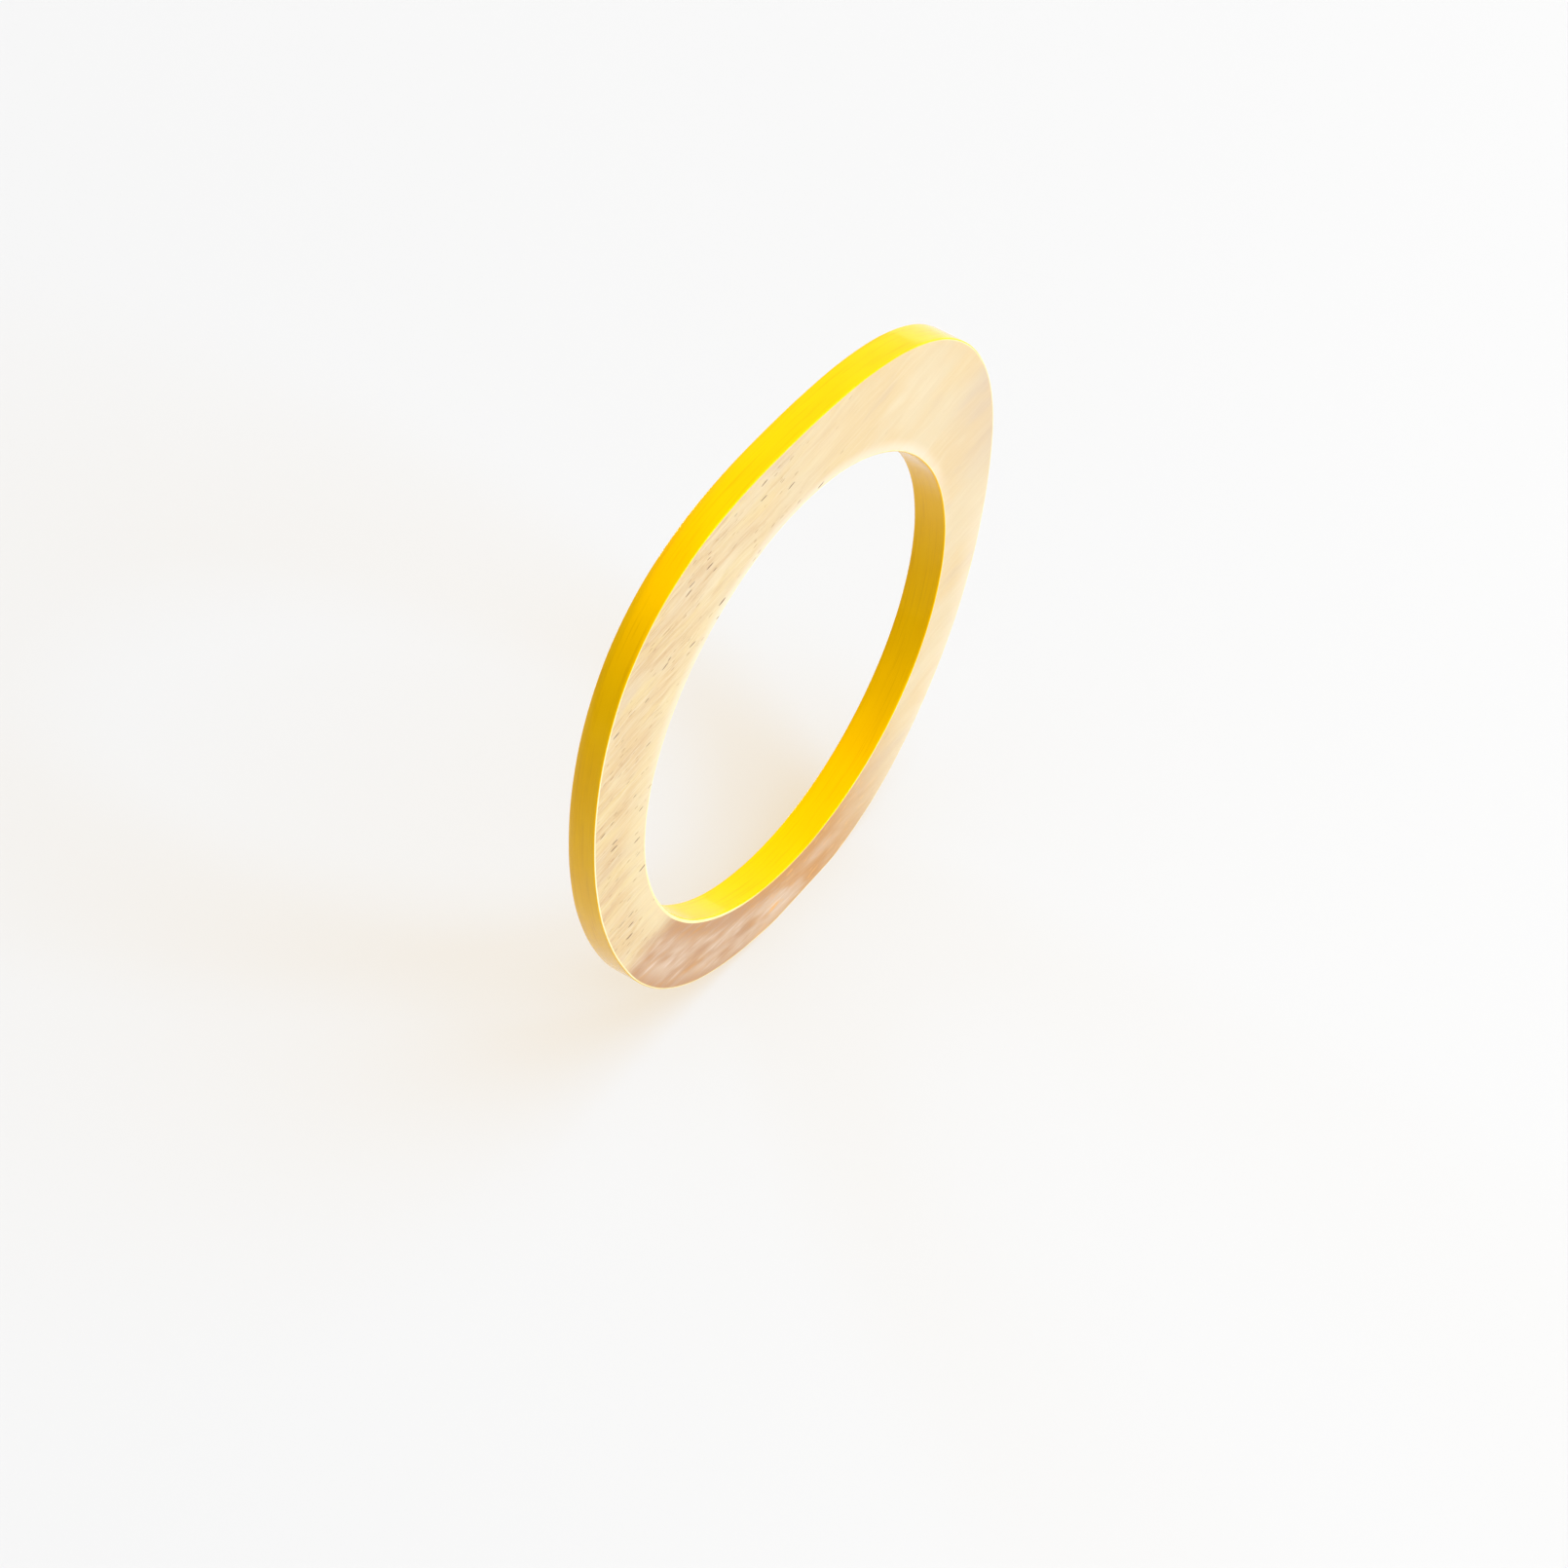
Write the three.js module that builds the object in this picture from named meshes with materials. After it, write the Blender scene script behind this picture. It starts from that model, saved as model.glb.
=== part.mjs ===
// A slip-on bangle of polished horn: one flat plate with a round wrist hole and a softly squared,
// hand-cut outline. Its two rim walls carry a pale ground coat under a yellow lacquer film, and
// the film is rubbed back at the edges of the faces, so that a line of ground coat shows there.
// The bangle stands upright on a small flat at its foot. Millimetres, +Z up; the plane front
// face looks along -Y and the slightly leaning back face along +Y.
import * as THREE from 'three';

// Driving dimensions
const HOLE_RADIUS = 32.5;
const MEAN_RADIUS = 43.7;
const FOOT_DEPTH = 40.8;
const THICKNESS = 4.5;
const TAPER = 0.0125;
const THICK_SIDE = -43;
const GROUND_COAT = 0.15;
const LACQUER = 0.1;
const BARE_EDGE = 0.15;
const STATIONS = 180;

// How the outline swells about the centre of the wrist hole: the number of crests round the rim, how
// far they stand out from the mean radius, and the direction of one of them in degrees.
const SWELLS = [
  { crests: 1, height: 3.19, toward: 94.4 },
  { crests: 2, height: 0.55, toward: 70 },
  { crests: 3, height: 1.3, toward: 25.5 },
  { crests: 4, height: 1.14, toward: 40 },
  { crests: 5, height: 0.19, toward: -18 },
  { crests: 6, height: 0.13, toward: -8 },
  { crests: 7, height: 0.13, toward: -23.5 },
];

// Depth of each layer's outer side under the finished wall.
const LACQUER_DEPTH = 0;
const GROUND_DEPTH = LACQUER;
const HORN_DEPTH = LACQUER + GROUND_COAT;

const HORN = new THREE.MeshStandardMaterial({ color: 0xf2deb4, roughness: 0.35, metalness: 0 });
const GROUND = new THREE.MeshStandardMaterial({ color: 0xfbf1d3, roughness: 0.45, metalness: 0 });
const YELLOW = new THREE.MeshStandardMaterial({ color: 0xf7cc00, roughness: 0.15, metalness: 0 });

const radians = THREE.MathUtils.degToRad;

function stationAngle(station) {
  return (2 * Math.PI * station) / STATIONS;
}

function outlineRadius(angle) {
  let radius = MEAN_RADIUS;
  for (const swell of SWELLS) {
    radius += swell.height * Math.cos(swell.crests * (angle - radians(swell.toward)));
  }
  return radius;
}

// The loop that lies `depth` under the finished outer wall, cut off flat at the foot.
function outerLoop(depth) {
  const loop = [];
  for (let station = 0; station < STATIONS; station++) {
    const angle = stationAngle(station);
    const radius = outlineRadius(angle) - depth;
    const height = Math.max(radius * Math.sin(angle), depth - FOOT_DEPTH);
    loop.push(new THREE.Vector2(radius * Math.cos(angle), height));
  }
  return loop;
}

// The loop that lies `depth` under the finished wall of the wrist hole.
function holeLoop(depth) {
  const loop = [];
  const radius = HOLE_RADIUS + depth;
  for (let station = 0; station < STATIONS; station++) {
    const angle = stationAngle(station);
    loop.push(new THREE.Vector2(radius * Math.cos(angle), radius * Math.sin(angle)));
  }
  return loop;
}

// The plate is a slight wedge: the front face is the plane y = 0 and the back face leans away from it.
function backFace(x, z) {
  const lean = radians(THICK_SIDE);
  return THICKNESS + TAPER * (x * Math.cos(lean) + z * Math.sin(lean));
}

// A flat ring between two loops that stops `margin` short of each face of the plate.
function flatRing(name, outside, inside, margin, material) {
  const shape = new THREE.Shape(outside);
  shape.holes.push(new THREE.Path(inside));
  const geometry = new THREE.ExtrudeGeometry(shape, { depth: 1, bevelEnabled: false });
  const corners = geometry.attributes.position;
  for (let i = 0; i < corners.count; i++) {
    const x = corners.getX(i);
    const z = corners.getY(i);
    const atFront = corners.getZ(i) > 0;
    const y = atFront ? margin : backFace(x, z) - margin;
    corners.setXYZ(i, x, y, z);
  }
  geometry.computeVertexNormals();
  const mesh = new THREE.Mesh(geometry, material);
  mesh.name = name;
  return mesh;
}

const bangle = new THREE.Group();
bangle.add(
  flatRing('horn_body', outerLoop(HORN_DEPTH), holeLoop(HORN_DEPTH), 0, HORN),
  flatRing('outer_ground_coat', outerLoop(GROUND_DEPTH), outerLoop(HORN_DEPTH), 0, GROUND),
  flatRing('inner_ground_coat', holeLoop(HORN_DEPTH), holeLoop(GROUND_DEPTH), 0, GROUND),
  flatRing('outer_lacquer', outerLoop(LACQUER_DEPTH), outerLoop(GROUND_DEPTH), BARE_EDGE, YELLOW),
  flatRing('inner_lacquer', holeLoop(GROUND_DEPTH), holeLoop(LACQUER_DEPTH), BARE_EDGE, YELLOW),
);

// The origin is the middle of the base of the bangle's box.
const box = new THREE.Box3().setFromObject(bangle);
const middle = box.getCenter(new THREE.Vector3());
bangle.position.set(-middle.x, -middle.y, -box.min.z);

export default bangle;
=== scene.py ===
# Looks of the horn bangle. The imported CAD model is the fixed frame. Each of its five solids is
# stood for by a finer mesh with the same outline, so that the arrises are truly rounded and the
# yellow film thins out over them onto the pale ground coat. All materials are procedural.
import math

import bmesh
import bpy
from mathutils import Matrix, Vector


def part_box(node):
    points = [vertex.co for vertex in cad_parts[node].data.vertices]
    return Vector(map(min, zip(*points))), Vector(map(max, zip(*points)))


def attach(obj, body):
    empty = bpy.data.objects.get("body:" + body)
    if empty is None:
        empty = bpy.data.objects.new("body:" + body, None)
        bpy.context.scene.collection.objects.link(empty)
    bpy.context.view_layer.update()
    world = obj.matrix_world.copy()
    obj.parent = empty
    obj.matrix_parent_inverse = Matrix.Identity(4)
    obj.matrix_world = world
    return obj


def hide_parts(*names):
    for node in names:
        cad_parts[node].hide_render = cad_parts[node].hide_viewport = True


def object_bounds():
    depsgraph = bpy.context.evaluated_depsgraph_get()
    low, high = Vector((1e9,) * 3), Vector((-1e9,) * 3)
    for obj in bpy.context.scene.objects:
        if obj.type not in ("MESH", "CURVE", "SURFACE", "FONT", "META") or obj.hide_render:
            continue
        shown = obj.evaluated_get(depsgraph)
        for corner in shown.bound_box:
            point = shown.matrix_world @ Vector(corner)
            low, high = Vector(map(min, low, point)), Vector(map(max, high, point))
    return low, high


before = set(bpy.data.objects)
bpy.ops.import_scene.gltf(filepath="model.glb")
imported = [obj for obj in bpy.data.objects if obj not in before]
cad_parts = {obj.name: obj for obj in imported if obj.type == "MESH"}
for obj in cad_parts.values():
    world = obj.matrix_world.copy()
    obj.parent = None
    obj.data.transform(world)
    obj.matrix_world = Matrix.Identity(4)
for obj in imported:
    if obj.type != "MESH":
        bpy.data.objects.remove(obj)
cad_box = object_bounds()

MM = 0.001
BODY = "root"

# The plate, as part.mjs makes it
HOLE_RADIUS = 32.5 * MM
MEAN_RADIUS = 43.7 * MM
THICKNESS = 4.5 * MM
TAPER = 0.0125
THICK_SIDE = math.radians(-43)
GROUND_COAT = 0.15 * MM
LACQUER = 0.1 * MM
# Crests round the rim, their height, and the direction of one of them in degrees
SWELLS = (
    (1, 3.19 * MM, 94.4),
    (2, 0.55 * MM, 70),
    (3, 1.3 * MM, 25.5),
    (4, 1.14 * MM, 40),
    (5, 0.19 * MM, -18),
    (6, 0.13 * MM, -8),
    (7, 0.13 * MM, -23.5),
)

# Places from the frame
hole_low, hole_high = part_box("inner_lacquer")
horn_low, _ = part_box("horn_body")
CENTRE_X = (hole_low.x + hole_high.x) / 2
CENTRE_Z = (hole_low.z + hole_high.z) / 2
FRONT_Y = horn_low.y
FOOT_DEPTH = CENTRE_Z - cad_box[0].z
HOLE_CENTRE = Vector((CENTRE_X, FRONT_Y, CENTRE_Z))

# Fine surface
STATIONS = 720
WALL_STEPS = 10
ARRIS_STEPS = 6
FACE_STEPS = 14
ARRIS = 0.2 * MM
ARRIS_CHANGE = 0.02 * MM
# Sides of the rim (True is the outer wall, False the hole's): where the arris is crisper
CRISP_SIDE = {True: math.radians(85), False: math.radians(-90)}
CRISP_SPREAD = math.radians(38)
CRISP_SHARE = 0.4
FILM_CHANGE = 0.02 * MM
COAT_CHANGE = 0.025 * MM
# How far round the arris the film goes: usually, on the covered side, and at most
BARE_SHARE = 0.9
COVERED_SHARE = 1.3
FULLY_COVERED = math.radians(86)
COVERED_SIDE = {True: math.radians(55), False: math.radians(-15)}
COVERED_SPREAD = {True: math.radians(50), False: math.radians(75)}
# The hole's arris is rubbed back further towards one side of the foot (the spread is in radians)
RUBBED_SIDE = math.radians(-140)
RUBBED_SPREAD = 0.6
RUBBED_BACK = 0.2 * MM
# The outer wall rolls over towards the back face, most on the upper left
ROLL_SIDE = math.radians(135)
ROLL_SPREAD = math.radians(42)
ROLL_DEPTH = 0.3 * MM
ROLL_WIDTH = 1.15 * MM
WALL_WAVE = 0.04 * MM
# The faces' waves: their height, and their lengths along x, along z and on the slant
FACE_WAVE = 0.012 * MM
FACE_WAVE_X = 7.0 * MM
FACE_WAVE_Z = 5.5 * MM
FACE_WAVE_SLANT = 13.0 * MM
FOOT_BLEND = 0.06 * MM
SHARP_ANGLE = math.radians(35)
# How hand work changes along the rim: waves round it, share of the height, phase
HAND_WAVES = ((5, 0.4, 1.0), (13, 0.35, 2.2), (29, 0.25, 0.5))
# Shifts of that change, so that the two walls and their layers do not change together
HOLE_SHIFT = 3.0
FILM_SHIFT = 1.3
COAT_SHIFT = 2.1
WAVE_SHIFT = 4.0

# Camera: the lens, what it sees between, where it stands round the hole's centre, and how far that
# centre is off the middle of the view
LENS = 111.8
SENSOR = 36.0
NEAREST = 0.01
FARTHEST = 20.0
CAMERA_AZIMUTH = math.radians(-54.64)
CAMERA_ELEVATION = math.radians(49.13)
CAMERA_DISTANCE = 611.55 * MM
RIGHT_OF_MIDDLE = 1.93 * MM
ABOVE_MIDDLE = 11.99 * MM

# Studio: each lamp's direction from the bangle, distance, width and power
FLOOR_SIZE = 6.0
WORLD_LIGHT = 0.49
LAMPS = (
    ("key", Vector((0.17, -0.86, 0.46)), 4.2, 1.5, 100.0),
    ("top", Vector((0.42, -0.36, 0.83)), 4.5, 4.4, 180.0),
    ("front", Vector((0.5, -0.7, 0.5)), 4.8, 4.2, 50.0),
    ("back", Vector((0.3, 0.93, 0.2)), 4.2, 1.4, 66.0),
)


# ---------------------------------------------------------------- shape of the plate


def outline_radius(angle):
    radius = MEAN_RADIUS
    for crests, height, toward in SWELLS:
        radius += height * math.cos(crests * (angle - math.radians(toward)))
    return radius


def hand(angle, shift):
    """A smooth change between about -1 and 1 along the rim."""
    return sum(share * math.sin(waves * angle + phase + shift) for waves, share, phase in HAND_WAVES)


def soft_max(first, second, blend):
    return (first + second + math.sqrt((first - second) ** 2 + blend**2)) / 2


def wall_place(angle, depth, outer):
    """x and z, from the hole's centre, of the spot that lies depth under one of the two walls."""
    if not outer:
        radius = HOLE_RADIUS + depth
        return radius * math.cos(angle), radius * math.sin(angle)
    radius = outline_radius(angle) - depth
    height = soft_max(radius * math.sin(angle), depth - FOOT_DEPTH, FOOT_BLEND)
    return radius * math.cos(angle), height


def face_wave(x, z):
    """How far hand polishing leaves the face off its plane."""
    across = math.sin(x / FACE_WAVE_X + 0.8) * math.sin(z / FACE_WAVE_Z + 2.0)
    slant = math.sin((x + 2 * z) / FACE_WAVE_SLANT)
    return FACE_WAVE * (0.6 * across + 0.4 * slant)


def front_face(x, z):
    return FRONT_Y + face_wave(x, z)


def back_face(x, z):
    lean = TAPER * (x * math.cos(THICK_SIDE) + z * math.sin(THICK_SIDE))
    return FRONT_Y + THICKNESS + lean + face_wave(z, x)


def near(angle, side, spread):
    """1 towards one side of the rim, falling smoothly to 0 a few spreads away from it."""
    away = math.remainder(angle - side, 2 * math.pi)
    return math.exp(-((away / spread) ** 2))


class Layers:
    """How deep the rounding, the film and the ground coat go at one station of a wall."""

    def __init__(self, angle, outer):
        shift = 0.0 if outer else HOLE_SHIFT
        rubbed = 0.0 if outer else RUBBED_BACK * near(angle, RUBBED_SIDE, RUBBED_SPREAD)
        crisp = 1 - CRISP_SHARE * near(angle, CRISP_SIDE[outer], CRISP_SPREAD)
        self.arris = ARRIS * crisp + ARRIS_CHANGE * hand(angle, shift) + rubbed / 2
        self.film = LACQUER + FILM_CHANGE * hand(angle, shift + FILM_SHIFT)
        self.coat = LACQUER + GROUND_COAT + COAT_CHANGE * hand(angle, shift + COAT_SHIFT) + rubbed
        covered = near(angle, COVERED_SIDE[outer], COVERED_SPREAD[outer])
        share = BARE_SHARE + (COVERED_SHARE - BARE_SHARE) * covered
        self.film_turn = min(math.acos(1 - self.film / self.arris) * share, FULLY_COVERED)
        self.front = front_face(*wall_place(angle, self.arris, outer))
        self.back = back_face(*wall_place(angle, self.arris, outer))
        self.wave = WALL_WAVE * hand(angle, shift + WAVE_SHIFT)
        self.roll = ROLL_DEPTH * near(angle, ROLL_SIDE, ROLL_SPREAD) if outer else 0.0

    def hand_depth(self, y):
        """How far sanding by hand leaves the wall under its true shape, at y across the plate."""
        share = max(0.0, 1 - (self.back - y) / ROLL_WIDTH)
        return self.wave + self.roll * share**2

    def rounding(self, start, end, at_back):
        """Depth and y along the rounded arris, between two turns: 0 is at the wall, 90 at the face."""
        points = []
        for step in range(ARRIS_STEPS + 1):
            turn = start + (end - start) * step / ARRIS_STEPS
            depth = self.arris * (1 - math.cos(turn))
            inset = self.arris * (1 - math.sin(turn))
            points.append((depth, self.back - inset if at_back else self.front + inset))
        return points


def line(start, end, steps):
    """Points between two (depth, y) points, without the ends."""
    inner = [step / steps for step in range(1, steps)]
    return [(start[0] + (end[0] - start[0]) * t, start[1] + (end[1] - start[1]) * t) for t in inner]


def film_section(layers):
    """The film's outline: from the front arris along the wall to the back one, and straight under."""
    front = layers.rounding(layers.film_turn, 0.0, False)
    back = layers.rounding(0.0, layers.film_turn, True)
    wall = line(front[-1], back[0], WALL_STEPS)
    under = line(back[-1], front[0], WALL_STEPS)
    return front + wall + back + under


def coat_section(layers):
    """The ground coat's outline: the bare parts of both arrises, and the sides under and over it."""
    front = layers.rounding(layers.film_turn, math.pi / 2, False)
    back = layers.rounding(math.pi / 2, layers.film_turn, True)
    front_corner = (layers.coat, layers.front)
    back_corner = (layers.coat, layers.back)
    under = line(front_corner, back_corner, WALL_STEPS)
    over = line(back[-1], front[0], WALL_STEPS)
    return front + [front_corner] + under + [back_corner] + back + over


def wall_ring(section, outer):
    """The rows of points of a coat that follows a wall: one row per station."""
    rows = []
    for station in range(STATIONS):
        angle = 2 * math.pi * station / STATIONS
        layers = Layers(angle, outer)
        row = []
        for depth, y in section(layers):
            x, z = wall_place(angle, depth + layers.hand_depth(y), outer)
            row.append((CENTRE_X + x, y, CENTRE_Z + z))
        rows.append(row)
    return rows


def wall_column(layers, angle, outer):
    """The points of the horn's own wall, from its front edge to its back edge."""
    front = (layers.coat, layers.front)
    back = (layers.coat, layers.back)
    points = []
    for depth, y in [front] + line(front, back, WALL_STEPS) + [back]:
        x, z = wall_place(angle, depth + layers.hand_depth(y), outer)
        points.append((x, y, z))
    return points


def across_face(start, end, face):
    """Points across a face of the plate between two edge points, without the ends."""
    points = []
    for step in range(1, FACE_STEPS):
        x, y, z = Vector(start).lerp(Vector(end), step / FACE_STEPS)
        points.append((x, face(x, z), z))
    return points


def horn_ring():
    """The horn plate between the two ground coats."""
    rows = []
    for station in range(STATIONS):
        angle = 2 * math.pi * station / STATIONS
        rim = wall_column(Layers(angle, True), angle, True)
        hole = wall_column(Layers(angle, False), angle, False)
        front = across_face(rim[0], hole[0], front_face)
        back = across_face(hole[-1], rim[-1], back_face)
        row = front + hole + back + rim[::-1]
        rows.append([(CENTRE_X + x, y, CENTRE_Z + z) for x, y, z in row])
    return rows


def closed_ring(name, rows):
    """A closed mesh of rows of points that run round a ring, each row itself a closed loop."""
    columns = len(rows[0])
    count = len(rows)
    faces = []
    for row in range(count):
        after = (row + 1) % count
        for column in range(columns):
            beside = (column + 1) % columns
            faces.append((row * columns + column, row * columns + beside,
                          after * columns + beside, after * columns + column))
    mesh = bpy.data.meshes.new(name)
    mesh.from_pydata([point for row in rows for point in row], [], faces)
    form = bmesh.new()
    form.from_mesh(mesh)
    bmesh.ops.recalc_face_normals(form, faces=form.faces)
    form.to_mesh(mesh)
    form.free()
    mesh.shade_smooth()
    mesh.set_sharp_from_angle(angle=SHARP_ANGLE)
    piece = bpy.data.objects.new(name, mesh)
    bpy.context.scene.collection.objects.link(piece)
    return piece


# ---------------------------------------------------------------- node helpers


class Nodes:
    """Builds one material's node tree. Most methods add nodes and give the output socket."""

    def __init__(self, name):
        self.material = bpy.data.materials.new(name)
        self.material.use_nodes = True
        self.tree = self.material.node_tree
        self.shader = self.tree.nodes["Principled BSDF"]

    def fill(self, socket, value):
        if isinstance(value, bpy.types.NodeSocket):
            self.tree.links.new(value, socket)
        else:
            socket.default_value = value

    def surface(self, **values):
        """Sets the shader's sockets: numbers directly, and sockets by a link."""
        for name, value in values.items():
            self.fill(self.shader.inputs[name.replace("_", " ")], value)

    def math(self, operation, first, second):
        node = self.tree.nodes.new("ShaderNodeMath")
        node.operation = operation
        self.fill(node.inputs[0], first)
        self.fill(node.inputs[1], second)
        return node.outputs[0]

    def plus(self, first, second):
        return self.math("ADD", first, second)

    def times(self, first, *others):
        product = first
        for other in others:
            product = self.math("MULTIPLY", product, other)
        return product

    def vector(self, operation, first, second):
        node = self.tree.nodes.new("ShaderNodeVectorMath")
        node.operation = operation
        self.fill(node.inputs[0], first)
        if operation == "SCALE":
            self.fill(node.inputs["Scale"], second)
        else:
            self.fill(node.inputs[1], second)
        return node.outputs["Value" if operation == "DISTANCE" else "Vector"]

    def moved(self, place, offset):
        """The place moved on, also so that noises of the same kind do not run together."""
        return self.vector("ADD", place, offset)

    def length(self, place, weights):
        """How far a place is from the origin, with each axis weighted."""
        return self.vector("DISTANCE", self.vector("MULTIPLY", place, weights), (0.0, 0.0, 0.0))

    def place(self):
        """Where a point is from the hole's centre, in millimetres."""
        spot = self.tree.nodes.new("ShaderNodeTexCoord").outputs["Object"]
        return self.vector("SCALE", self.vector("SUBTRACT", spot, HOLE_CENTRE), 1 / MM)

    def turned(self, place, degrees):
        """The place turned about the Y axis, so that its X runs degrees above the horizontal."""
        node = self.tree.nodes.new("ShaderNodeVectorRotate")
        node.rotation_type = "Y_AXIS"
        self.fill(node.inputs["Vector"], place)
        node.inputs["Angle"].default_value = math.radians(degrees)
        return node.outputs[0]

    def split(self, vector):
        node = self.tree.nodes.new("ShaderNodeSeparateXYZ")
        self.fill(node.inputs[0], vector)
        return node.outputs

    def noise(self, place, sizes, detail=2.0, roughness=0.5):
        """Noise whose features measure sizes, in millimetres along each axis."""
        scaled = self.vector("MULTIPLY", place, tuple(1 / size for size in sizes))
        node = self.tree.nodes.new("ShaderNodeTexNoise")
        self.fill(node.inputs["Vector"], scaled)
        node.inputs["Scale"].default_value = 1.0
        node.inputs["Detail"].default_value = detail
        node.inputs["Roughness"].default_value = roughness
        return node.outputs["Fac"]

    def spots(self, place, sizes):
        """Scattered points: how far the nearest one is, and a random number that goes with it."""
        scaled = self.vector("MULTIPLY", place, tuple(1 / size for size in sizes))
        node = self.tree.nodes.new("ShaderNodeTexVoronoi")
        self.fill(node.inputs["Vector"], scaled)
        node.inputs["Scale"].default_value = 1.0
        return node.outputs["Distance"], self.split(node.outputs["Color"])[0]

    def step(self, value, start, end, low=0.0, high=1.0):
        """Goes smoothly from low at start to high at end."""
        node = self.tree.nodes.new("ShaderNodeMapRange")
        node.interpolation_type = "SMOOTHSTEP"
        self.fill(node.inputs["Value"], value)
        for name, number in (("From Min", start), ("From Max", end), ("To Min", low), ("To Max", high)):
            node.inputs[name].default_value = number
        return node.outputs["Result"]

    def mix(self, share, first, second):
        """The first colour with a share of the second."""
        node = self.tree.nodes.new("ShaderNodeMix")
        node.data_type = "RGBA"
        self.fill(node.inputs["Factor"], share)
        self.fill(node.inputs[6], first)
        self.fill(node.inputs[7], second)
        return node.outputs[2]

    def bump(self, height, distance, strength=1.0, normal=None):
        node = self.tree.nodes.new("ShaderNodeBump")
        node.inputs["Strength"].default_value = strength
        node.inputs["Distance"].default_value = distance
        self.fill(node.inputs["Height"], height)
        if normal is not None:
            self.fill(node.inputs["Normal"], normal)
        return node.outputs[0]


def rgb(red, green, blue):
    return (red, green, blue, 1.0)


# Horn: how its grain runs, in degrees above the horizontal
FIBRE_TILT = 5
PORE_TILT = 9
VEIN_TILT = -16
GLINT_TILT = -6
# Places on it, in millimetres from the hole's centre
CLOUD_PLACE = (43.0, 0.0, 15.0)
# Where the painted orange glint sits at the foot
GLINT_STREAK_PLACE = (-5.4, 0.0, -37.4)
# Where a look starts to change and where it has changed: along x, or across the fibres
LEFT_FADE = (24.0, -26.0)
PORE_FADE = (-20.0, 25.0)
PEARL_TOP = (-9.0, -13.6)
PEARL_RIGHT = (26.0, 3.0)
# Depths of relief
PORE_DEPTH = 0.03 * MM
FIBRE_DEPTH = 0.003 * MM
CREAM = rgb(0.595, 0.48, 0.29)
STRAW = rgb(0.595, 0.45, 0.235)
TAN = rgb(0.51, 0.345, 0.17)
WARM = rgb(0.56, 0.395, 0.185)
PALE = rgb(0.64, 0.54, 0.35)
GOLD = rgb(0.61, 0.47, 0.215)
DUSK = rgb(0.52, 0.375, 0.22)
LIGHT_GOLD = rgb(0.66, 0.56, 0.33)
# Painted highlight: paler horn at the hole's top and at the rim's lower right
PAINTED_HIGHLIGHT_PALE = rgb(0.71, 0.63, 0.50)
BROWN = rgb(0.30, 0.135, 0.035)
GREY = rgb(0.49, 0.375, 0.27)
PORE = rgb(0.12, 0.035, 0.0)
AMBER = rgb(0.44, 0.205, 0.045)
ROSE = rgb(0.385, 0.205, 0.095)
PEARL = rgb(0.52, 0.37, 0.25)
# Painted sheen: silvery glints in the pearly zone
PAINTED_SILVER_SHEEN = rgb(0.66, 0.54, 0.44)
# Orange for the painted glint at the foot and for the horn's orange flecks
GLINT_AND_FLECK_ORANGE = rgb(0.66, 0.34, 0.09)
THROUGH_HORN = rgb(0.93, 0.81, 0.60)

# Coats
RUB_DEPTH = 0.006 * MM
SWELL_DEPTH = 0.02 * MM
BRUSH_DEPTH = 0.001 * MM
GROUND_CREAM = rgb(0.75, 0.63, 0.26)
GROUND_PALE = rgb(0.79, 0.69, 0.36)
# Painted highlight on the ground coat's arris at the far left
GROUND_PAINTED_HIGHLIGHT = rgb(0.90, 0.82, 0.52)
YELLOW = rgb(0.94, 0.51, 0.0)
LIGHT_YELLOW = rgb(0.96, 0.54, 0.0)
DEEP_YELLOW = rgb(0.84, 0.41, 0.0)
OCHRE = rgb(0.72, 0.33, 0.0)
GLINT = rgb(1.0, 0.6, 0.0)

# Floor
FLOOR_DARKER = rgb(0.62, 0.62, 0.62)
FLOOR_LIGHTER = rgb(0.63, 0.63, 0.63)


# ---------------------------------------------------------------- materials


def fibre_place(nodes, place):
    """The place with its X along the horn's slightly wavy fibres."""
    straight = nodes.turned(place, FIBRE_TILT)
    wave = nodes.times(nodes.noise(straight, (24, 9, 12), 1.0), 3.0)
    ripple = nodes.times(nodes.noise(straight, (5.5, 5, 3.5), 1.0), 0.8)
    offset = nodes.vector("SCALE", (0.0, 0.3, 1.0), nodes.plus(wave, ripple))
    return nodes.moved(straight, offset)


def from_centre(nodes, place):
    """How far a place is from the hole's axis."""
    return nodes.length(place, (1.0, 0.0, 1.0))


def drifts(nodes, x, fibre, left):
    """Cream to straw in broad drifts, with warmer, greyish, golden, dusky and pale ones on them."""
    broad = nodes.noise(fibre, (24, 8, 8), 2.0)
    drift = nodes.noise(nodes.moved(fibre, (40.0, 0.0, 9.0)), (15, 6, 5), 2.0)
    golden = nodes.noise(nodes.moved(fibre, (11.0, 0.0, 70.0)), (13, 5, 3.4), 1.0)
    colour = nodes.mix(nodes.step(broad, 0.38, 0.6), STRAW, CREAM)
    warm = nodes.times(nodes.step(x, 6.0, -36.0), nodes.step(drift, 0.62, 0.36, 0.35, 1.0))
    colour = nodes.mix(warm, colour, WARM)
    colour = nodes.mix(nodes.step(drift, 0.54, 0.7, 0.0, 0.4), colour, GREY)
    colour = nodes.mix(nodes.times(nodes.step(golden, 0.5, 0.66, 0.0, 0.7), left), colour, GOLD)
    colour = nodes.mix(nodes.times(nodes.step(golden, 0.44, 0.32, 0.0, 0.35), left), colour, DUSK)
    return nodes.mix(nodes.step(drift, 0.45, 0.3, 0.0, 0.5), colour, PALE), broad


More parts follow.
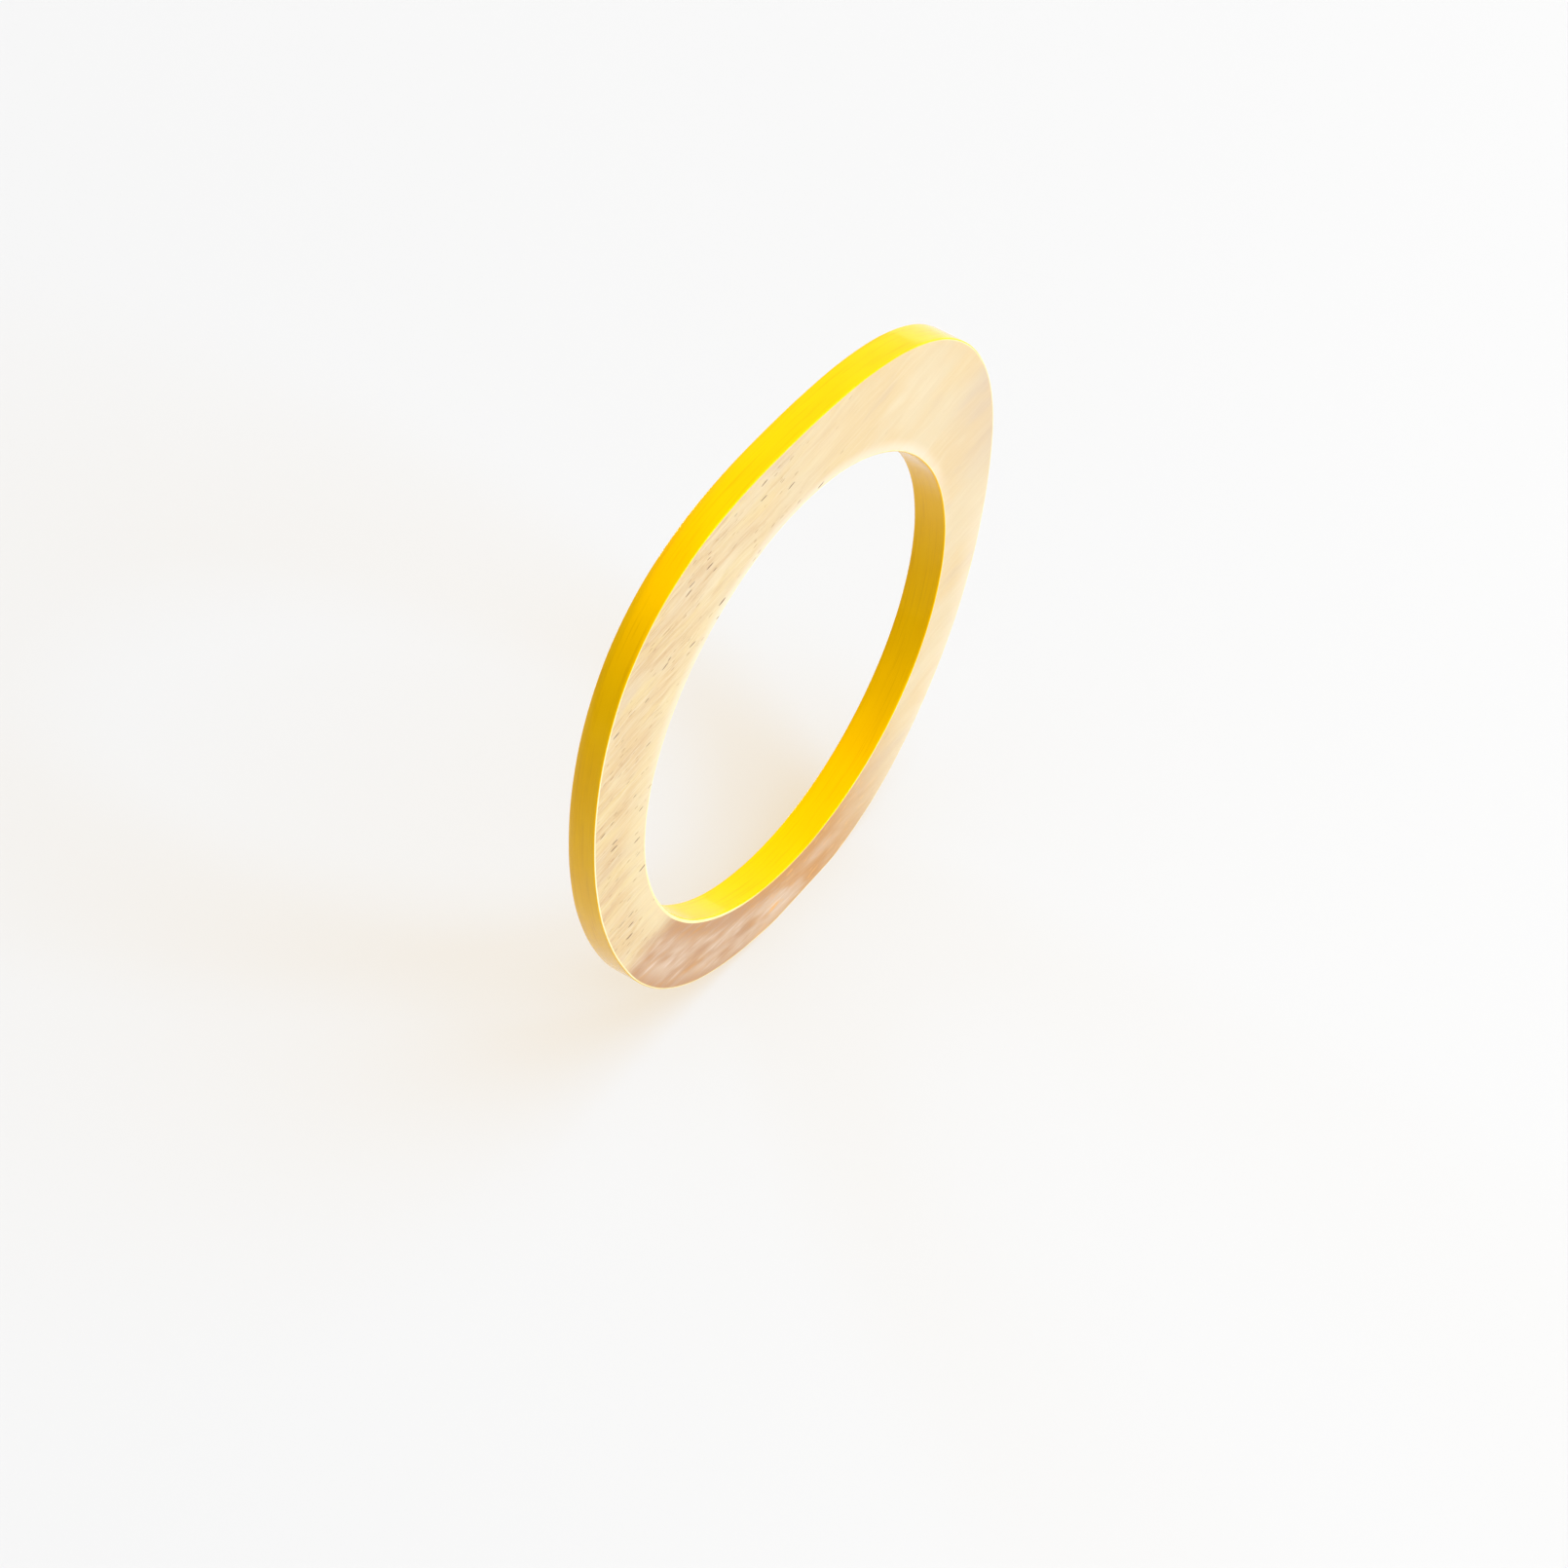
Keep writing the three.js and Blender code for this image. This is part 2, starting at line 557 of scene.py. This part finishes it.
def with_fibres(nodes, fibre, fine, left, colour):
    """Adds tan streaks, pale fibres and, in patches, brown hairs. They show most on the left."""
    streak = nodes.noise(fibre, (11, 3, 1.4), 3.0, 0.6)
    hair = nodes.noise(nodes.moved(fibre, (0.0, 5.0, 30.0)), (3.2, 0.9, 0.13), 2.0, 0.6)
    thread = nodes.noise(nodes.moved(fibre, (9.0, 2.0, 55.0)), (4.5, 1.1, 0.16), 1.0)
    patch = nodes.noise(fibre, (6, 4, 2.2), 2.0)
    colour = nodes.mix(nodes.times(nodes.step(streak, 0.5, 0.66, 0.0, 0.8), left), colour, TAN)
    colour = nodes.mix(nodes.step(fine, 0.45, 0.28, 0.0, 0.3), colour, PALE)
    colour = nodes.mix(nodes.times(nodes.step(thread, 0.46, 0.34, 0.0, 0.55), left), colour, PALE)
    shown = nodes.times(nodes.step(patch, 0.4, 0.62), left)
    return nodes.mix(nodes.times(nodes.step(hair, 0.57, 0.66, 0.0, 0.6), shown), colour, BROWN)


def blonde_colour(nodes, place, fibre, fine):
    """The main colour: drifts and fibres, a grey cloud at the right, and a painted highlight along the
    hole's top and the rim's lower right.
    """
    x, _, z = nodes.split(place)
    left = nodes.step(x, *LEFT_FADE, 0.1, 1.0)
    colour, broad = drifts(nodes, x, fibre, left)
    colour = with_fibres(nodes, fibre, fine, left, colour)
    cloud = nodes.step(nodes.vector("DISTANCE", place, CLOUD_PLACE), 15.0, 2.0, 0.0, 0.6)
    colour = nodes.mix(nodes.times(cloud, nodes.step(broad, 0.3, 0.6, 0.4, 1.0)), colour, GREY)
    radius = from_centre(nodes, place)
    beside = nodes.times(nodes.step(radius, 38.5, 34.0, 0.0, 0.5), nodes.step(x, 2.0, -22.0))
    colour = nodes.mix(beside, colour, LIGHT_GOLD)
    # Painted highlight: the horn is paler along the hole's upper edge and near the lower right of the
    # rim.
    upper = nodes.times(nodes.step(radius, 34.6, 32.8, 0.0, 0.6), nodes.step(z, -2.0, 26.0))
    lower = nodes.times(
        nodes.step(radius, 36.0, 43.0, 0.0, 0.6),
        nodes.step(z, 6.0, -12.0),
        nodes.step(x, 14.0, 30.0),
    )
    return nodes.mix(nodes.math("MAXIMUM", upper, lower), colour, PAINTED_HIGHLIGHT_PALE)


def with_glint_and_flecks(nodes, place, fibre, glint, colour):
    """Adds a painted orange glint in a streak near the middle of the foot, and a few orange flecks
    beside it.
    """
    x = nodes.split(place)[0]
    beside = nodes.turned(place, FIBRE_TILT)
    beside = nodes.vector("SUBTRACT", beside, nodes.turned(GLINT_STREAK_PLACE, FIBRE_TILT))
    # Painted glint: an orange streak of light near the middle of the foot.
    glint_streak = nodes.length(beside, (0.6, 0.0, 1.3))
    glint_streak = nodes.plus(glint_streak, nodes.step(glint, 0.35, 0.65, -0.3, 0.3))
    colour = nodes.mix(nodes.step(glint_streak, 1.1, 0.1, 0.0, 0.75), colour, GLINT_AND_FLECK_ORANGE)
    fleck = nodes.noise(nodes.moved(fibre, (3.0, 0.0, 21.0)), (2.2, 1.2, 0.5), 1.0)
    flecks = nodes.times(nodes.step(fleck, 0.62, 0.74, 0.0, 0.5), nodes.step(x, -14.0, -4.0))
    return nodes.mix(flecks, colour, GLINT_AND_FLECK_ORANGE)


def pearl_share(nodes, place, fibre):
    """Where the pearly zone is: it starts along the fibres at the foot and fades to the right."""
    x = nodes.split(place)[0]
    ragged = nodes.times(nodes.noise(fibre, (6, 4, 1.5), 3.0), 5.0)
    edge = nodes.plus(nodes.split(fibre)[2], ragged)
    return nodes.times(nodes.step(edge, *PEARL_TOP), nodes.step(x, *PEARL_RIGHT))


def pearl_colour(nodes, place, fibre):
    """Pinkish brown with pearly clouds and a painted silvery sheen in streaks, which keep to the middle
    of the rim.
    """
    x = nodes.split(place)[0]
    radius = from_centre(nodes, place)
    middle = nodes.times(nodes.step(radius, 33.8, 37.0), nodes.step(radius, 42.4, 38.8))
    vein = nodes.turned(place, VEIN_TILT)
    cloud = nodes.noise(vein, (9, 5, 2.8), 2.0, 0.5)
    veil = nodes.noise(nodes.moved(vein, (17.0, 0.0, 4.0)), (6, 3, 0.9), 3.0, 0.6)
    glint = nodes.noise(nodes.turned(place, GLINT_TILT), (6.0, 1.8, 0.7), 2.0)
    warmth = nodes.plus(veil, nodes.step(x, -14.0, 3.0, 0.1, -0.4))
    colour = nodes.mix(nodes.step(warmth, 0.3, 0.7), AMBER, ROSE)
    pale = nodes.times(nodes.step(cloud, 0.3, 0.62), nodes.step(x, 16.0, -4.0, 0.2, 1.0), middle)
    colour = nodes.mix(pale, colour, PEARL)
    colour = nodes.mix(nodes.step(veil, 0.52, 0.72, 0.0, 0.3), colour, PEARL)
    # Painted sheen: short silvery streaks that stand for light glinting off the pearly zone.
    painted_sheen_share = nodes.times(
        nodes.step(glint, 0.5, 0.7, 0.0, 0.62),
        middle,
        nodes.step(cloud, 0.35, 0.58, 0.25, 1.0),
        nodes.step(x, 4.0, -12.0, 0.2, 1.0),
    )
    colour = nodes.mix(painted_sheen_share, colour, PAINTED_SILVER_SHEEN)
    return with_glint_and_flecks(nodes, place, fibre, glint, colour)


def pores(nodes, place, share):
    """Short slits along the fibres, dense on the left: a few large ones and many small ones."""
    x = nodes.split(place)[0]
    wave = nodes.times(nodes.noise(place, (6, 6, 4), 1.0), 1.2)
    grain = nodes.moved(place, nodes.vector("SCALE", (0.0, 0.0, 1.0), wave))
    grain = nodes.turned(grain, PORE_TILT)
    large, large_chance = nodes.spots(grain, (5.2, 2.0, 0.8))
    small, small_chance = nodes.spots(grain, (2.9, 1.4, 0.5))
    rare = nodes.step(x, *PORE_FADE, 0.5, 0.96)
    common = nodes.step(x, *PORE_FADE, 0.12, 0.85)
    large_kept = nodes.step(nodes.math("SUBTRACT", large_chance, rare), 0.0, 0.12)
    small_kept = nodes.step(nodes.math("SUBTRACT", small_chance, common), 0.0, 0.4)
    holes = nodes.times(nodes.step(large, 0.15, 0.12), large_kept, share)
    dashes = nodes.times(nodes.step(small, 0.17, 0.11), small_kept, share)
    return holes, dashes


def let_light_through(nodes, tint):
    """Tints and lets through light that goes on to other surfaces: thin horn has warm shadows."""
    clear = nodes.tree.nodes.new("ShaderNodeBsdfTransparent")
    clear.inputs["Color"].default_value = tint
    rays = nodes.tree.nodes.new("ShaderNodeLightPath")
    result = nodes.shader.outputs["BSDF"]
    for kind in ("Is Diffuse Ray", "Is Shadow Ray"):
        both = nodes.tree.nodes.new("ShaderNodeMixShader")
        nodes.fill(both.inputs["Fac"], rays.outputs[kind])
        nodes.fill(both.inputs[1], result)
        nodes.fill(both.inputs[2], clear.outputs["BSDF"])
        result = both.outputs[0]
    nodes.fill(nodes.tree.nodes["Material Output"].inputs["Surface"], result)


def horn_material():
    """Blonde horn: straight fibres with pores, pearly pink-brown at the foot, with a soft gloss."""
    nodes = Nodes("blonde_horn")
    place = nodes.place()
    fibre = fibre_place(nodes, place)
    fine = nodes.noise(fibre, (7, 1.2, 0.4), 3.0)
    pearly = pearl_share(nodes, place, fibre)
    holes, dashes = pores(nodes, place, nodes.math("SUBTRACT", 1.0, pearly))
    colour = blonde_colour(nodes, place, fibre, fine)
    colour = nodes.mix(pearly, colour, pearl_colour(nodes, place, fibre))
    colour = nodes.mix(nodes.times(dashes, 0.8), colour, BROWN)
    colour = nodes.mix(nodes.times(holes, 0.95), colour, PORE)
    sunk = nodes.times(nodes.math("MAXIMUM", holes, dashes), -1.0)
    relief = nodes.bump(sunk, PORE_DEPTH)
    relief = nodes.bump(fine, FIBRE_DEPTH, 0.6, relief)
    nodes.surface(
        Base_Color=colour,
        Roughness=nodes.step(fine, 0.3, 0.7, 0.28, 0.38),
        Normal=relief,
        IOR=1.54,
        Subsurface_Weight=0.15,
        Subsurface_Radius=(1.0, 0.6, 0.35),
        Subsurface_Scale=1.0 * MM,
    )
    let_light_through(nodes, THROUGH_HORN)
    return nodes.material


def ground_material():
    """Pale cream ground coat with rub marks, and a painted highlight that makes it lighter at the far
    left. The film smears over it at the top of the rim and at the foot of the hole."""
    nodes = Nodes("pale_ground_coat")
    place = nodes.place()
    rub = nodes.noise(place, (1.6, 0.6, 1.6), 3.0)
    colour = nodes.mix(nodes.step(rub, 0.3, 0.7), GROUND_CREAM, GROUND_PALE)
    x, _, height = nodes.split(place)
    # Painted highlight: the ground coat is paler at the far left, where the arris catches the light.
    colour = nodes.mix(nodes.step(x, -34.0, -44.0, 0.0, 0.7), colour, GROUND_PAINTED_HIGHLIGHT)
    above = nodes.step(height, 33.0, 42.0)
    at_hole = nodes.step(from_centre(nodes, place), 33.5, 33.0)
    below = nodes.times(nodes.step(height, -29.0, -32.0), at_hole)
    smeared = nodes.math("MAXIMUM", above, below)
    smear = nodes.times(smeared, nodes.step(rub, 0.3, 0.6, 0.4, 0.75))
    colour = nodes.mix(smear, colour, DEEP_YELLOW)
    nodes.surface(
        Base_Color=colour,
        Roughness=nodes.step(rub, 0.3, 0.7, 0.35, 0.5),
        Normal=nodes.bump(rub, RUB_DEPTH),
        IOR=1.5,
    )
    return nodes.material


def lacquer_material():
    """Warm yellow lacquer, brushed along the wall in faint strokes and polished to a high gloss."""
    nodes = Nodes("yellow_lacquer")
    place = nodes.place()
    brushed = nodes.noise(place, (30, 0.45, 30), 3.0)
    patch = nodes.noise(place, (11, 4, 11), 2.0)
    swell = nodes.noise(place, (5, 2.2, 5), 1.0)
    colour = nodes.mix(nodes.step(patch, 0.3, 0.7), YELLOW, LIGHT_YELLOW)
    colour = nodes.mix(nodes.step(brushed, 0.5, 0.75, 0.0, 0.16), colour, DEEP_YELLOW)
    stroke = nodes.noise(nodes.moved(place, (5.0, 1.0, 12.0)), (10, 0.24, 10), 3.0, 0.6)
    colour = nodes.mix(nodes.step(stroke, 0.5, 0.7, 0.0, 0.35), colour, OCHRE)
    relief = nodes.bump(swell, SWELL_DEPTH)
    relief = nodes.bump(brushed, BRUSH_DEPTH, 0.4, relief)
    nodes.surface(
        Base_Color=colour,
        Roughness=nodes.step(brushed, 0.3, 0.7, 0.09, 0.13),
        Normal=relief,
        IOR=1.56,
        Specular_Tint=GLINT,
    )
    return nodes.material


def floor_material():
    nodes = Nodes("pale_floor")
    spot = nodes.tree.nodes.new("ShaderNodeTexCoord").outputs["Object"]
    mottle = nodes.noise(spot, (0.35, 0.35, 0.35), 2.0)
    colour = nodes.mix(nodes.step(mottle, 0.3, 0.7), FLOOR_DARKER, FLOOR_LIGHTER)
    nodes.surface(Base_Color=colour, Roughness=0.9, Specular_IOR_Level=0.1)
    return nodes.material


# ---------------------------------------------------------------- pieces


def add_piece(name, rows, node, material, thin=False):
    """Makes one visible piece. A thin coat adds nothing to the shadow of the horn behind it."""
    piece = closed_ring(name, rows)
    piece.data.materials.append(material)
    piece.visible_shadow = not thin
    piece.visible_diffuse = not thin
    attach(piece, BODY)
    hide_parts(node)


def add_bangle():
    horn = horn_material()
    ground = ground_material()
    yellow = lacquer_material()
    add_piece("horn_plate", horn_ring(), "horn_body", horn)
    for side, outer in (("outer", True), ("inner", False)):
        coat = wall_ring(coat_section, outer)
        film = wall_ring(film_section, outer)
        add_piece(side + "_ground", coat, side + "_ground_coat", ground, True)
        add_piece(side + "_film", film, side + "_lacquer", yellow, True)


# ---------------------------------------------------------------- studio


def add_floor():
    mesh = bpy.data.meshes.new("floor")
    half = FLOOR_SIZE / 2
    corners = [(-half, -half, 0), (half, -half, 0), (half, half, 0), (-half, half, 0)]
    mesh.from_pydata(corners, [], [(0, 1, 2, 3)])
    mesh.materials.append(floor_material())
    floor = bpy.data.objects.new("floor", mesh)
    floor.location.z = cad_box[0].z
    bpy.context.scene.collection.objects.link(floor)


def add_light(name, toward, distance, size, power):
    light = bpy.data.lights.new(name, "AREA")
    light.shape = "DISK"
    light.size = size
    light.energy = power
    lamp = bpy.data.objects.new(name, light)
    lamp.location = HOLE_CENTRE + toward.normalized() * distance
    lamp.rotation_mode = "QUATERNION"
    lamp.rotation_quaternion = (-toward).to_track_quat("-Z", "Y")
    bpy.context.scene.collection.objects.link(lamp)


def add_world():
    world = bpy.data.worlds.new("studio")
    world.use_nodes = True
    background = world.node_tree.nodes["Background"]
    background.inputs["Color"].default_value = (1.0, 1.0, 1.0, 1.0)
    background.inputs["Strength"].default_value = WORLD_LIGHT
    bpy.context.scene.world = world


def add_camera():
    azimuth, elevation = CAMERA_AZIMUTH, CAMERA_ELEVATION
    back = Vector((math.sin(azimuth) * math.cos(elevation),
                   -math.cos(azimuth) * math.cos(elevation),
                   math.sin(elevation)))
    right = Vector((math.cos(azimuth), math.sin(azimuth), 0.0))
    up = back.cross(right)
    middle = HOLE_CENTRE - right * RIGHT_OF_MIDDLE - up * ABOVE_MIDDLE
    lens = bpy.data.cameras.new("camera")
    lens.lens = LENS
    lens.sensor_width = SENSOR
    lens.clip_start = NEAREST
    lens.clip_end = FARTHEST
    camera = bpy.data.objects.new("camera", lens)
    camera.location = middle + back * CAMERA_DISTANCE
    camera.rotation_mode = "QUATERNION"
    camera.rotation_quaternion = (-back).to_track_quat("-Z", "Y")
    bpy.context.scene.collection.objects.link(camera)
    bpy.context.scene.camera = camera


add_camera()
add_floor()
add_world()
for lamp in LAMPS:
    add_light(*lamp)
add_bangle()
bpy.context.scene.view_settings.view_transform = "Standard"
